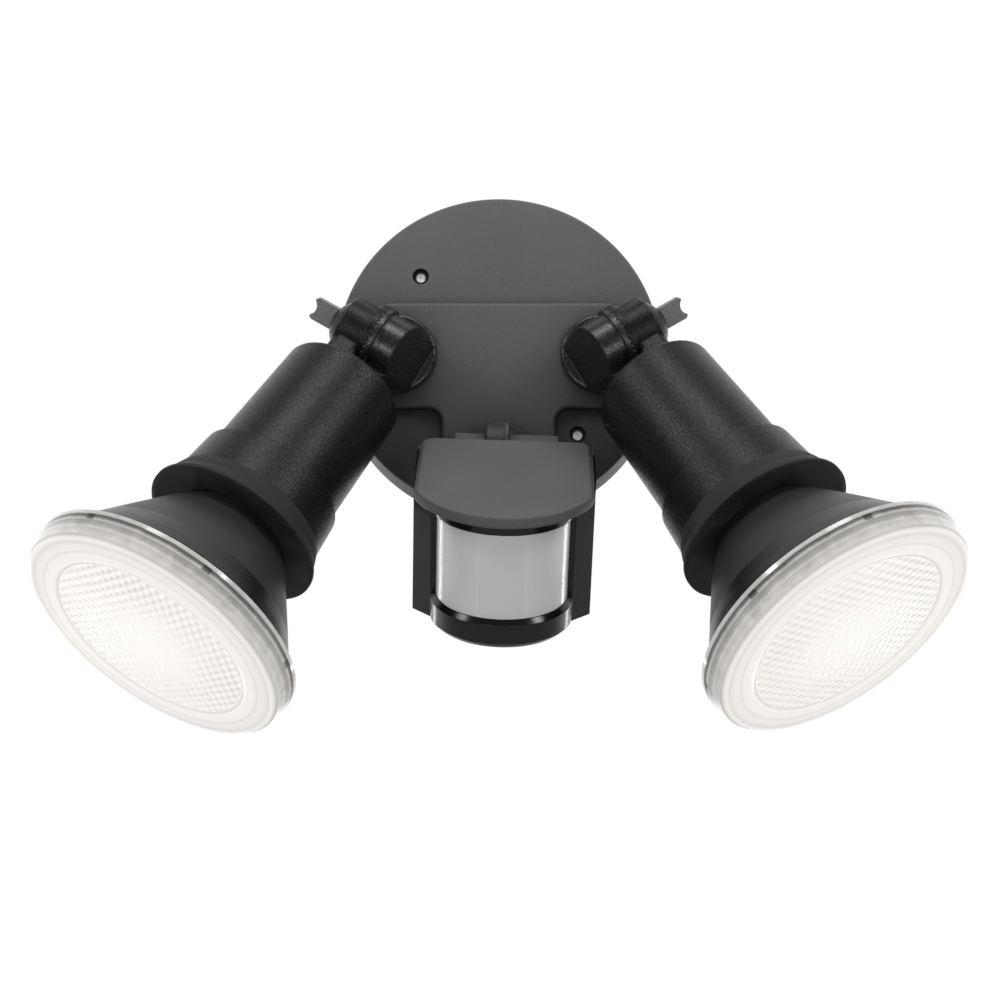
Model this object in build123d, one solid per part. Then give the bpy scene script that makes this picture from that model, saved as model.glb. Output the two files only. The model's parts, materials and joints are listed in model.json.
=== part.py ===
from build123d import *
import math
import os

# Twin spotlight with a motion sensor, for an outside wall.  Millimetres, +Z up.
# The wall is the plane Y = 0, the object reaches out to -Y, and the origin is the
# middle of the flat back.  "Out" below means away from the wall.

# ---- Wall base and cover ----
cover_back_radius = 78.7        # rim against the wall
cover_front_radius = 77.3       # rim at the front face, drafted for the mould
cover_back_gap = 1.0            # the rim stops this far from the wall
cover_depth = 20.5              # front face, out from the wall
cover_wall = 2.5
cover_edge_round = 1.5
platform_rise = 5.0             # raised field that carries the three swivels
platform_margin = 26.0          # end radius of the field, round each lamp swivel
platform_lobe_half = 27.0       # half width of the lobe behind the sensor
platform_lobe_y = -48.0         # centre height of the lobe's round end
platform_corner = 6.5           # inside corner between field and lobe
platform_edge_round = 2.0
base_clearance = 1.6            # base rim inside the cover's wall, at the back
base_radius = cover_back_radius - cover_wall - base_clearance
base_thickness = 3.0
base_rim_wall = 2.0
base_rim_height = 7.0           # spigot that locates the cover
fixing_spacing = 84.0           # wall screw holes, centre to centre
fixing_hole_radius = 2.6
gasket_inset = 3.6              # the gasket's groove stops this far inside the base's edge
gasket_outer_radius = base_radius - gasket_inset
gasket_width = 5.0
gasket_thickness = 2.0
cable_entry_x = 0.0
cable_entry_z = 33.0
cable_entry_radius = 9.0        # hole in the base
grommet_bore_radius = 4.0
grommet_lip = 2.0               # grommet flange beyond the hole
grommet_lip_thickness = 1.6
screw_up = (-37.5, 37.8)        # cover screw, upper left, in X and Z
screw_low = (37.4, -40.2)       # cover screw, lower right
screw_pocket_radius = 3.9
screw_pocket_depth = 4.0
screw_head_radius = 2.7
screw_head_height = 1.9
screw_shank_radius = 1.6
screw_length = 11.0
screw_post_radius = 4.2
terminal_size = (36.0, 15.0, 11.0)   # X, Z and out
terminal_z = 6.0
terminal_ways = 3
terminal_screw_radius = 2.3

# ---- Lamp arm: swivel elbow and serrated knuckle ----
arm_x = 48.5                    # swivel axes, left and right of the middle
arm_z = -2.6
swivel_left = 30.0              # rest turn of the arm about its swivel, degrees
swivel_right = 30.3
tilt_left = 25.1                # rest tilt of the lamp about the clamp screw, degrees
tilt_right = 26.3
knuckle_drop = 4.0              # the clamp axis passes this far below the swivel axis
swivel_gap = 0.3
disc_radius = 19.0
disc_thickness = 3.5
disc_round = 1.4
knuckle_height = 21.8           # clamp axis above the raised field
knuckle_radius = 15.4
knuckle_ring_radius = 17.2      # toothed ring
knuckle_ring_width = 2.9
knuckle_split = 7.8            # parting plane, out along the clamp axis
knuckle_end = 23.9              # end of the lampholder's half
knuckle_half_radius = 14.2      # lampholder's half
knuckle_round = 1.2             # outer edge of its end
tooth_count = 40                # radial teeth of a lamp's knuckle
tooth_depth = 1.3               # at the rim of the ring; the teeth run out at the axis
tooth_gap = 0.08                # along the axis, between the flanks of the two rings
tooth_land = 0.06               # part of each pitch left flat on the crest
ring_bore_radius = 11.5
facet_top = -5.0                # sloping cut at the elbow's inner end, top and foot
facet_foot = -15.5
spigot_radius = 8.0
spigot_bore_radius = 5.0
spigot_length = 10.5
sensor_wire_radius = 3.0
spigot_clearance = 0.1
o_ring_radius = 13.5
o_ring_section = 1.1
o_ring_gap = 0.15
washer_radius = 12.5
washer_thickness = 1.0
lock_nut_radius = 12.0
lock_nut_thickness = 4.0
clamp_shank_radius = 2.4
clamp_clearance = 0.08
clamp_nut_flats = 7.0
clamp_nut_thickness = 3.2
clamp_nut_place = 2.5           # back face of the nut along the clamp axis
clamp_screw_tip = 0.5           # end of the screw, from the swivel axis
wing_length = 11.0
wing_width = 11.0
wing_thickness = 2.4
wing_notch_radius = 5.0
wing_notch_depth = 2.0
wing_turn = 35.0                # rest turn of the wings about the clamp axis, degrees
dome_radius = 11.7
dome_height = 6.8
dome_rim = 0.9                  # straight edge of the dome
dome_seat_radius = 12.2         # recess in the knuckle's end
dome_seat_depth = 1.2

# ---- Lampholder: measured along the lamp axis from the clamp axis ----
holder_offset = 5.7             # lamp axis, out along the clamp axis
barrel_rear = 32.8
barrel_rear_radius = 28.5
barrel_front_radius = 30.3
barrel_wall = 2.6
barrel_round = 2.0
collar_start = 96.0
collar_radius = 33.0
collar_end = 115.0
collar_end_radius = 34.6
holder_front = 121.0
rear_wall = 3.0
neck_half_width = 7.5
neck_round = 4.0
neck_inner = 8.9               # neck between barrel and knuckle, along the clamp axis
skirt_flange_place = 126.0
skirt_flange_radius = 39.5
skirt_thickness = 2.0
skirt_sleeve_radius = 36.4
skirt_lip_gap = 0.3

# ---- Reflector lamp with a screw cap ----
lens_back = 174.0
lens_back_radius = 60.5
lens_front = 186.4
lens_front_radius = 58.4
lens_wall = 2.4
lens_zone_radius = 44.0         # patterned middle of the lens
lens_crown = 2.6
body_front = 171.0
body_front_radius = 55.4
body_wall = 1.8
lamp_neck_place = 124.5
lamp_neck_radius = 23.7
board_radius = 40.0
board_place = 164.4             # back of the light board, on the body's floor
board_thickness = 1.6
floor_thickness = 3.0
led_rings = ((0, 1), (15, 6), (29, 12))   # radius of each ring of emitters, and how many
led_radius = 2.5
led_height = 1.2
cap_front = 83.0
cap_rear = 59.0
cap_rear_radius = 9.6           # hole in the cap's end, filled by the tip
cap_root_radius = 12.3
cap_crest_radius = 13.1
thread_pitch = 3.62
cap_thread_turns = 5
cap_wall = 0.5
lamp_tip_place = 55.0
tip_radius = 4.6
thread_clearance = 0.35
socket_radius = 20.5
socket_front = 81.5
socket_floor = 50.0

# ---- Sensor head ----
sensor_z = -52.0                # pan axis of the sensor
sensor_pan_rest = 1.9           # rest turn of the head about that axis, degrees
sensor_tilt_rest = 32.0         # rest tilt, lens facing down, degrees
sensor_disc_radius = 16.5
sensor_pivot_height = 18.5      # tilt axis above the raised field
sensor_shift = 3.6              # head centre, to the right of the pan axis
lug_left = -5.5                 # faces of the swivel's lug, from the pan axis
lug_right = 3.0
lug_radius = 11.5
lug_gap = 0.3
lug_ring_bore = 6.5
lug_ring_width = 1.2
lug_tooth_depth = 0.9
lug_tooth_count = 60
ear_half_width = 23.5
ear_top = 6.2
ear_bottom = -14.0
ear_back = -6.0
head_back = 14.0                # measured forward from the tilt axis
head_half_width = 39.6
head_case_split = 20.0
head_wing_front = 45.0
head_wall = 2.0
head_bottom = -61.3             # measured up from the tilt axis
lens_axis_forward = 53.1
sensor_lens_radius = 29.0
sensor_lens_wall = 1.2
sensor_lens_bottom = -48.3
sensor_lens_top = -9.5
lip_radius = 31.3
lip_land = 0.2                 # flat left at the lens; the rest of the lip's top slopes
lip_chamfer = 2.2              # round the lip's lower edge
brow_radius = 30.4
hood_half_width = 38.2
hood_back = 15.7
hood_side_front = 67.6
hood_front = 91.6
hood_top_back = 10.1
hood_top_front = 1.3
hood_thickness = 4.5
hood_corner = 6.0
hood_round = 2.2
pivot_radius = 2.4
pivot_head_radius = 4.0
pivot_head_height = 3.0
pivot_head_depth = 0.6          # heads sit this deep in the ears
pivot_nut_flats = 6.9
case_screw_radius = 1.3
case_screw_head = 2.5
case_boss_radius = 3.6
case_screw_x = 34.6
case_screw_low = -52.0
case_screw_high = -6.0
case_screw_length = 16.0
case_boss_front = 34.0
knob_radius = 4.5
knob_height = 4.0
knob_spacing = 17.0
knob_forward = 30.0
knob_clearance = 0.3
pir_radius = 4.6
pir_height = 4.2
sensor_board_size = (58.0, 40.0, 1.6)
sensor_board_forward = 27.0

WALL = Plane(origin=(0, 0, 0), x_dir=(1, 0, 0), z_dir=(0, -1, 0))
field_height = cover_depth + platform_rise
field_inside = field_height - cover_wall


def on_wall(shape):
    """Place a shape drawn with x right, y up and z out from the wall."""
    return WALL.location * shape


def ring(outer, inner, height):
    """Flat ring that stands on z = 0."""
    return extrude(Circle(outer) - Circle(inner), height)


def disc(radius, low, high, x=0.0, y=0.0):
    """Round rod or disc along z, from low to high."""
    return Pos(x, y, low) * extrude(Circle(radius), high - low)


def block(x0, x1, y0, y1, z0, z1):
    """Box between two corners."""
    return Pos((x0 + x1) / 2, (y0 + y1) / 2, (z0 + z1) / 2) * Box(x1 - x0, y1 - y0, z1 - z0)


def turned(points):
    """Solid of revolution about z from (radius, height) points."""
    outline = Polyline(*[(r, 0, z) for r, z in points], close=True)
    return revolve(make_face(outline), Axis.Z, 360)


def hexagon(across_flats, low, high):
    """Hexagon bar along x, from low to high."""
    outline = RegularPolygon(across_flats / 2, 6, major_radius=False)
    return Pos(low, 0, 0) * along_x(extrude(outline, high - low))


def along_x(shape):
    """Turn a shape drawn along z so that it runs along x."""
    return Rot(0, 90, 0) * shape


def rod(radius, low, high):
    """Round rod or hole along x, from low to high."""
    return Pos(low, 0, 0) * along_x(extrude(Circle(radius), high - low))


# ---------------------------------------------------------------- wall side
def make_wall_base():
    plate = disc(base_radius, 0, base_thickness)
    rim = Pos(0, 0, base_thickness) * ring(
        base_radius, base_radius - base_rim_wall, base_rim_height - base_thickness
    )
    body = plate + rim
    pocket_floor = cover_depth - screw_pocket_depth - cover_wall
    for x, z in (screw_up, screw_low):
        body += disc(screw_post_radius, 0, pocket_floor, x, z)
        low = cover_depth - screw_pocket_depth - screw_length
        body -= disc(screw_shank_radius, low, pocket_floor, x, z)
    body -= ring(gasket_outer_radius, gasket_outer_radius - gasket_width, gasket_thickness)
    for x in (-fixing_spacing / 2, fixing_spacing / 2):
        body -= disc(fixing_hole_radius, 0, base_thickness, x, 0)
    body -= disc(cable_entry_radius, 0, base_thickness, cable_entry_x, cable_entry_z)
    return on_wall(body)


def make_wall_gasket():
    return on_wall(ring(gasket_outer_radius, gasket_outer_radius - gasket_width, gasket_thickness))


def make_cable_grommet():
    lip = cable_entry_radius + grommet_lip
    sleeve = disc(cable_entry_radius, 0, base_thickness)
    sleeve += disc(lip, base_thickness, base_thickness + grommet_lip_thickness)
    sleeve -= disc(grommet_bore_radius, 0, base_thickness + grommet_lip_thickness)
    return on_wall(Pos(cable_entry_x, cable_entry_z, 0) * sleeve)


def field_outline(inset):
    """Outline of the raised field: a long round-ended bar with a lobe below it."""
    radius = platform_margin - inset
    half = platform_lobe_half - inset
    bar = Pos(0, arm_z) * SlotOverall(2 * (arm_x + radius), 2 * radius)
    lobe = Pos(0, platform_lobe_y) * Circle(half)
    height = arm_z - platform_lobe_y
    lobe += Pos(0, (arm_z + platform_lobe_y) / 2) * Rectangle(2 * half, height)
    outline = bar + lobe
    corner_y = arm_z - radius
    corners = [
        v for v in outline.vertices()
        if abs(abs(v.X) - half) < 0.01 and abs(v.Y - corner_y) < 0.01
    ]
    return fillet(corners, platform_corner + inset)


def make_front_cover():
    rise = cover_depth - cover_back_gap
    draft = math.degrees(math.atan((cover_back_radius - cover_front_radius) / rise))
    shell = Pos(0, 0, cover_back_gap) * extrude(Circle(cover_back_radius), rise, taper=draft)
    front_edge = shell.edges().sort_by(Axis.Z)[-1]
    shell = fillet(front_edge, cover_edge_round)
    field = Pos(0, 0, cover_depth) * extrude(field_outline(0), platform_rise)
    field = fillet(field.faces().sort_by(Axis.Z)[-1].edges(), platform_edge_round)
    shell += field
    inner_rise = rise - cover_wall
    shell -= Pos(0, 0, cover_back_gap) * extrude(
        Circle(cover_back_radius - cover_wall), inner_rise, taper=draft
    )
    hollow_low = cover_depth - cover_wall
    shell -= Pos(0, 0, hollow_low) * extrude(field_outline(cover_wall), field_inside - hollow_low)
    pocket_floor = cover_depth - screw_pocket_depth
    for x, z in (screw_up, screw_low):
        shell += disc(screw_pocket_radius + cover_wall, pocket_floor - cover_wall, cover_depth - 0.5, x, z)
        shell -= disc(screw_pocket_radius, pocket_floor, field_height, x, z)
        shell -= disc(screw_shank_radius + 0.2, pocket_floor - cover_wall, pocket_floor, x, z)
    for x in (-arm_x, arm_x):
        shell -= disc(spigot_radius + spigot_clearance, hollow_low, field_height, x, arm_z)
    shell -= disc(spigot_radius + spigot_clearance, hollow_low, field_height, 0, sensor_z)
    return on_wall(shell)


def make_cover_screws():
    floor = cover_depth - screw_pocket_depth
    screws = []
    for x, z in (screw_up, screw_low):
        head = disc(screw_head_radius, floor, floor + screw_head_height, x, z)
        head = fillet(head.edges().sort_by(Axis.Z)[-1], 0.8)
        shank = disc(screw_shank_radius, floor - screw_length, floor, x, z)
        cross = Box(3.0, 0.7, 1.2) + Box(0.7, 3.0, 1.2)
        screws.append(head + shank - Pos(x, z, floor + screw_head_height) * cross)
    return on_wall(Compound(screws))


def terminal_places():
    pitch = terminal_size[0] / terminal_ways
    return [(i - (terminal_ways - 1) / 2) * pitch for i in range(terminal_ways)]


def make_terminal_block():
    width, height, depth = terminal_size
    block = Pos(0, terminal_z, base_thickness + depth / 2) * Box(width, height, depth)
    top = base_thickness + depth
    for x in terminal_places():
        for side in (-1, 1):
            y = terminal_z + side * height / 4
            block -= disc(terminal_screw_radius, top - 6.0, top, x, y)
        wire_hole = Pos(x, terminal_z, base_thickness + 4.0) * Rot(90, 0, 0) * Cylinder(1.6, height)
        block -= wire_hole
    return on_wall(block)


def make_terminal_screws():
    top = base_thickness + terminal_size[2]
    screws = []
    for x in terminal_places():
        for side in (-1, 1):
            y = terminal_z + side * terminal_size[1] / 4
            screw = disc(terminal_screw_radius, top - 6.0, top - 1.0, x, y)
            screw -= Pos(x, y, top - 1.0) * Box(2 * terminal_screw_radius, 0.7, 1.4)
            screws.append(screw)
    return on_wall(Compound(screws))


# ---------------------------------------------------------------- lamp arms
def arm_frames(side, swivel, tilt):
    """Planes of one arm: its swivel, its clamp axis and its lamp axis.

    side is -1 for left and 1 for right.  In the clamp plane x runs out along the
    clamp axis; in the lamp plane z runs towards the lens, from the clamp axis.
    """
    turn = math.radians(swivel)
    rock = math.radians(tilt)
    out = Vector(0, -1, 0)
    outward = Vector(side * math.cos(turn), 0, math.sin(turn))
    hang = Vector(side * math.sin(turn), 0, -math.cos(turn))
    aim = hang * math.cos(rock) + out * math.sin(rock)
    foot = Vector(side * arm_x, -field_height, arm_z)
    centre = foot + out * knuckle_height + hang * knuckle_drop
    swivel_plane = Plane(origin=foot, x_dir=outward, z_dir=out)
    clamp_plane = Plane(origin=centre, x_dir=outward, z_dir=out)
    lamp_plane = Plane(origin=centre + outward * holder_offset, x_dir=outward, z_dir=aim)
    return swivel_plane, clamp_plane, lamp_plane


def toothed_ring(outer, inner, back, split, depth, count, turn):
    """Ring along x from back to its radial teeth, which mesh across the plane x = split.

    The flanks of all teeth point at one spot on the axis, so the two rings of a joint
    match all over.  turn sets where a groove lies, in degrees from +z towards -y.
    """
    facing = 1 if split > back else -1
    half_pitch = math.radians(180 / count)

    def height(radius, part):
        return split + facing * (part * depth / 2 * radius / outer - tooth_gap / 2)

    def groove_section(radius):
        half = radius * math.tan(half_pitch)
        sides = Polyline(
            (height(radius, -1), 0), (height(radius, 3), -2 * half), (height(radius, 3), 2 * half), close=True
        )
        return Pos(0, 0, radius) * make_face(sides)

    crest = 1 - 2 * tooth_land
    blank = revolve(make_face(Polyline(
        (back, 0, inner), (back, 0, outer), (height(outer, crest), 0, outer), (height(inner, crest), 0, inner),
        close=True,
    )), Axis.X, 360)
    groove = loft([groove_section(inner - 1), groove_section(outer + 1)], ruled=True)
    return blank - [Rot(turn + i * 360 / count, 0, 0) * groove for i in range(count)]


def make_elbow(swivel_plane, side, mesh_turn):
    ring_back = knuckle_split - knuckle_ring_width
    tube_back = facet_foot - knuckle_height
    tube = rod(knuckle_radius, tube_back, ring_back)
    foot = block(tube_back, ring_back - 1.5, -knuckle_radius, knuckle_radius, -2 * knuckle_height, 0)
    clamp_local = Pos(0, -side * knuckle_drop, knuckle_height)
    body = clamp_local * (tube + foot)
    body &= disc(disc_radius - 0.6, swivel_gap, 3 * knuckle_height)
    climb = knuckle_height + knuckle_radius
    slope = math.degrees(math.atan2(climb, facet_top - facet_foot))
    body -= Pos(facet_foot, 0, 0) * Rot(0, 90 - slope, 0) * block(-99, 0, -50, 50, -99, 99)
    plate = disc(disc_radius, swivel_gap, swivel_gap + disc_thickness)
    body += fillet(plate.edges().sort_by(Axis.Z)[-1], disc_round)
    teeth = toothed_ring(
        knuckle_ring_radius, ring_bore_radius, ring_back, knuckle_split, tooth_depth, tooth_count, mesh_turn
    )
    web = rod(ring_bore_radius + 1, ring_back - 2, ring_back + 0.8)
    body += clamp_local * (teeth + web)
    body += disc(spigot_radius, -spigot_length, swivel_gap)
    body -= disc(spigot_bore_radius, -spigot_length, knuckle_height - clamp_nut_flats)
    shank_hole = rod(clamp_shank_radius + clamp_clearance, clamp_screw_tip, knuckle_split)
    nut_pocket = hexagon(clamp_nut_flats, clamp_nut_place, knuckle_split)
    body -= clamp_local * (shank_hole + nut_pocket)
    body -= Pos(0, 0, o_ring_section + o_ring_gap) * Torus(o_ring_radius, o_ring_section)
    return swivel_plane.location * body


def make_elbow_seal(swivel_plane):
    return swivel_plane.location * Pos(0, 0, o_ring_section + o_ring_gap) * Torus(
        o_ring_radius, o_ring_section
    )


def make_swivel_washer(swivel_plane):
    low = -cover_wall - swivel_gap - washer_thickness
    return swivel_plane.location * Pos(0, 0, low) * ring(washer_radius, spigot_radius, washer_thickness)


def make_swivel_nut(swivel_plane):
    low = -cover_wall - swivel_gap - washer_thickness - lock_nut_thickness
    nut = Pos(0, 0, low) * ring(lock_nut_radius, spigot_radius, lock_nut_thickness)
    for i in range(6):
        notch = Pos(lock_nut_radius, 0, low + lock_nut_thickness / 2) * Box(3.0, 4.0, lock_nut_thickness)
        nut -= Rot(0, 0, 60 * i) * notch
    return swivel_plane.location * nut


def make_clamp_nut(clamp_plane):
    nut = hexagon(clamp_nut_flats, clamp_nut_place, clamp_nut_place + clamp_nut_thickness)
    nut -= rod(clamp_shank_radius, clamp_nut_place, clamp_nut_place + clamp_nut_thickness)
    return clamp_plane.location * nut


def make_clamp_screw(clamp_plane, side):
    seat = knuckle_end - dome_seat_depth + swivel_gap
    top = seat + dome_height
    outline = Polyline((top, 0, 0), (seat, 0, 0), (seat, 0, dome_radius), (seat + dome_rim, 0, dome_radius))
    crown = dome_height - dome_rim
    sphere = (dome_radius ** 2 + crown ** 2) / (2 * crown)
    middle = math.asin(dome_radius / sphere) / 2
    outline += ThreePointArc(
        (seat + dome_rim, 0, dome_radius),
        (top - sphere + sphere * math.cos(middle), 0, sphere * math.sin(middle)), (top, 0, 0),
    )
    dome = revolve(make_face(outline), Axis.X, 360)
    wing_end = seat + dome_height + wing_length
    wing = block(seat + dome_rim, wing_end, -wing_width / 2, wing_width / 2, -wing_thickness / 2, wing_thickness / 2)
    wing = fillet(wing.edges().filter_by(Axis.Z).group_by(Axis.X)[-1], 2.0)
    wing -= Pos(wing_end + wing_notch_radius - wing_notch_depth, 0, 0) * Cylinder(
        wing_notch_radius, 2 * wing_thickness
    )
    shank = rod(clamp_shank_radius, clamp_screw_tip, seat + dome_rim)
    return clamp_plane.location * (shank + dome + Rot(side * wing_turn, 0, 0) * wing)


def make_lampholder(lamp_plane):
    outer = [
        (0, barrel_rear), (barrel_rear_radius, barrel_rear), (barrel_front_radius, collar_start),
        (collar_radius, collar_start), (collar_end_radius, collar_end),
        (collar_end_radius - skirt_thickness, collar_end),
        (collar_end_radius - skirt_thickness, holder_front), (0, holder_front),
    ]
    barrel = turned(outer)
    rear_edge = barrel.edges().filter_by(GeomType.CIRCLE).sort_by(Axis.Z)[0]
    barrel = fillet(rear_edge, barrel_round)
    start = knuckle_split - holder_offset
    end = knuckle_end - holder_offset
    ring_back = start + knuckle_ring_width
    half = rod(knuckle_half_radius, ring_back - 0.8, end)
    half = fillet(half.edges().filter_by(GeomType.CIRCLE).sort_by(Axis.X)[-1], knuckle_round)
    half -= rod(dome_seat_radius, end - dome_seat_depth, end)
    teeth = toothed_ring(
        knuckle_ring_radius, ring_bore_radius, ring_back, start, tooth_depth, tooth_count, 0
    )
    neck = block(
        neck_inner - holder_offset, end - 0.5, -neck_half_width, neck_half_width, 0, barrel_rear + rear_wall
    )
    neck -= rod(knuckle_half_radius - 0.5, neck_inner - holder_offset - 1, end)
    neck = fillet(neck.edges().filter_by(Axis.Z), neck_round)
    body = barrel + half + teeth + neck
    bore_rear = barrel_rear_radius - barrel_wall
    bore_front = barrel_front_radius - barrel_wall
    body -= turned([
        (0, barrel_rear + rear_wall), (bore_rear, barrel_rear + rear_wall),
        (bore_front, collar_start), (bore_front + 1.2, holder_front), (0, holder_front),
    ])
    body -= rod(clamp_shank_radius + clamp_clearance, start - 1, end)
    return lamp_plane.location * body


def make_skirt_seal(lamp_plane):
    sleeve_inner = collar_end_radius - skirt_thickness
    lip = lamp_neck_radius + skirt_lip_gap
    flange = skirt_flange_place
    seal = turned([
        (sleeve_inner, collar_end), (skirt_sleeve_radius - 1.2, collar_end),
        (skirt_sleeve_radius, collar_end + 3.0), (skirt_sleeve_radius + 0.8, flange - 5.0),
        (skirt_flange_radius, flange - 1.4), (skirt_flange_radius, flange),
        (skirt_flange_radius - 2.0, flange + 0.2), (lip + 3.0, flange - 1.2),
        (lip, lamp_neck_place), (lip, lamp_neck_place - 1.6),
        (lip + 2.5, holder_front + 0.6), (sleeve_inner, holder_front + 0.4),
    ])
    return lamp_plane.location * seal


def make_socket_body(lamp_plane):
    rear = barrel_rear + rear_wall
    bore = cap_crest_radius + thread_clearance + cap_wall + thread_clearance
    body = disc(socket_radius, rear, socket_front)
    body -= disc(bore, socket_floor, socket_front)
    body -= disc(4.0, rear, socket_floor)
    return lamp_plane.location * body


def thread_profile(root, crest, low, turns):
    """Half outline of round screw threads that climb along z."""
    points = []
    for i in range(turns):
        base = low + i * thread_pitch
        points += [
            (root, base), (crest - 0.15, base + 0.3 * thread_pitch), (crest, base + 0.5 * thread_pitch),
            (crest - 0.15, base + 0.7 * thread_pitch),
        ]
    points.append((root, low + turns * thread_pitch))
    return points


def make_socket_shell(lamp_plane):
    low = cap_rear + 1.0
    inner = thread_profile(cap_root_radius + thread_clearance, cap_crest_radius + thread_clearance, low, cap_thread_turns)
    outer = cap_crest_radius + thread_clearance + cap_wall
    top = inner[-1][1]
    profile = inner + [(outer, top), (outer, socket_floor), (outer - 4.0, socket_floor)]
    profile += [(outer - 4.0, socket_floor + cap_wall), (inner[0][0], socket_floor + cap_wall)]
    return lamp_plane.location * turned(profile)


def make_socket_contact(lamp_plane):
    rise = lamp_tip_place - thread_clearance - socket_floor
    stem = Pos(-3.0, 0, socket_floor + rise / 2) * Box(0.8, 5.0, rise)
    tongue = Pos(0, 0, lamp_tip_place - thread_clearance - 0.3) * Box(6.8, 5.0, 0.6)
    return lamp_plane.location * (stem + tongue)


BODY_PROFILE = (
    (14.2, 87.0), (18.5, 99.0), (21.3, 113.0), (lamp_neck_radius, lamp_neck_place), (28.2, 129.5),
    (34.7, 139.0), (41.3, 149.0), (47.8, 159.0), (52.4, 166.0), (body_front_radius, body_front),
)


def make_lamp_body(lamp_plane):
    rim = lens_back_radius - lens_wall - 1.2
    outer = [(cap_root_radius - 0.1, cap_front)] + list(BODY_PROFILE)
    outer += [(body_front_radius - 1.0, body_front + 0.8), (body_front_radius - 1.0, lens_back + 0.4)]
    outer += [(rim, lens_back + 0.4), (rim, lens_back + 3.0), (rim - body_wall, lens_back + 3.0)]
    inner = [(r - body_wall, z + body_wall * 0.6) for r, z in reversed(BODY_PROFILE)]
    inner += [(cap_root_radius - body_wall, cap_front)]
    floor_radius = BODY_PROFILE[-3][0] - body_wall / 2
    floor = disc(floor_radius, board_place - floor_thickness, board_place)
    return lamp_plane.location * (turned(outer + inner) + floor)


def make_lamp_lens(lamp_plane):
    top = lens_front + 0.8
    back_inner = lens_back_radius - lens_wall - 1.0
    outer = [
        (back_inner, lens_back), (lens_back_radius, lens_back), (lens_back_radius, lens_back + 2.0),
        (lens_front_radius + 0.4, lens_front - 1.2), (lens_front_radius - 1.2, lens_front),
        (lens_zone_radius + 1.5, top), (lens_zone_radius, top - 0.6), (lens_zone_radius / 2, top + lens_crown - 1.2),
        (0, top + lens_crown - 0.6),
    ]
    inner = [
        (0, top + lens_crown - 0.6 - lens_wall), (lens_zone_radius / 2, top + lens_crown - 1.2 - lens_wall),
        (lens_zone_radius, top - 0.6 - lens_wall), (back_inner - 1.0, lens_front - lens_wall),
        (back_inner, lens_front - lens_wall - 1.5),
    ]
    return lamp_plane.location * turned(outer + inner)


def make_lamp_reflector(lamp_plane):
    low = board_place + board_thickness
    cone = turned([
        (board_radius - 1.5, low), (board_radius, low), (lens_back_radius - lens_wall - 3.2, lens_back + 6.0),
        (lens_back_radius - lens_wall - 4.4, lens_back + 6.0),
    ])
    return lamp_plane.location * cone


def make_light_board(lamp_plane):
    low = board_place
    board = disc(board_radius, low, low + board_thickness)
    for radius, count in led_rings:
        for i in range(count):
            angle = math.radians(360 * i / count)
            x, y = radius * math.cos(angle), radius * math.sin(angle)
            board += disc(led_radius, low + board_thickness, low + board_thickness + led_height, x, y)
    return lamp_plane.location * board


def make_lamp_cap(lamp_plane):
    low = cap_rear + 1.0
    outer = [(cap_rear_radius, cap_rear)]
    outer += thread_profile(cap_root_radius, cap_crest_radius, low, cap_thread_turns)
    top = outer[-1][1]
    outer += [(cap_root_radius + 0.4, top + 0.6), (cap_root_radius + 0.4, cap_front)]
    bore = cap_root_radius - cap_wall
    inner = [(bore, cap_front), (bore, low + cap_wall), (cap_rear_radius, cap_rear + cap_wall)]
    return lamp_plane.location * turned(outer + inner)


def make_lamp_tip(lamp_plane):
    return lamp_plane.location * turned([
        (0, lamp_tip_place), (tip_radius, lamp_tip_place), (tip_radius, lamp_tip_place + 1.2),
        (tip_radius + 1.4, lamp_tip_place + 1.2), (cap_rear_radius, cap_rear),
        (cap_rear_radius, cap_rear + cap_wall), (0, cap_rear + cap_wall),
    ])


# ---------------------------------------------------------------- sensor head
def sensor_frames():
    """Planes of the sensor: its pan swivel and its head, from the tilt axis.

    In the head plane x is right, y is up and z is forward, towards the lens.
    """
    foot = Vector(0, -field_height, sensor_z)
    pan = math.radians(sensor_pan_rest)
    tilt = math.radians(sensor_tilt_rest)
    right = Vector(math.cos(pan), 0, -math.sin(pan))
    forward = Vector(-math.sin(pan) * math.sin(tilt), -math.cos(tilt), -math.cos(pan) * math.sin(tilt))
    swivel_plane = Plane(origin=foot, x_dir=right, z_dir=(0, -1, 0))
    centre = foot + Vector(0, -sensor_pivot_height, 0) + right * sensor_shift
    head_plane = Plane(origin=centre, x_dir=right, z_dir=forward)
    return swivel_plane, head_plane


def plan_extrude(outline, low, high):
    """Extrude a plan drawn as x and forward, upwards from low to high."""
    return Pos(0, high, 0) * Rot(90, 0, 0) * extrude(outline, high - low)


def make_sensor_swivel(swivel_plane):
    plate = disc(sensor_disc_radius, swivel_gap, swivel_gap + disc_thickness)
    plate = fillet(plate.edges().sort_by(Axis.Z)[-1], disc_round)
    plate += disc(spigot_radius, -spigot_length, swivel_gap)
    plate -= disc(sensor_wire_radius, -spigot_length, swivel_gap + disc_thickness / 2)
    lug_face = lug_right - lug_ring_width
    lug = rod(lug_radius, lug_left, lug_face)
    lug += block(lug_left, lug_face, -lug_radius, lug_radius, disc_thickness - sensor_pivot_height, 0)
    lug += toothed_ring(
        lug_radius, lug_ring_bore, lug_face, lug_right, lug_tooth_depth, lug_tooth_count,
        sensor_tilt_rest + 180 / lug_tooth_count,
    )
    lug -= rod(pivot_radius + clamp_clearance, lug_left, lug_right)
    return swivel_plane.location * (plate + Pos(0, 0, sensor_pivot_height) * lug)


def slot_range():
    """Left face of the slot for the lug, and the right one behind the teeth, in the head plane."""
    return lug_left - sensor_shift - lug_gap, lug_right - sensor_shift + lug_ring_width


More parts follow.
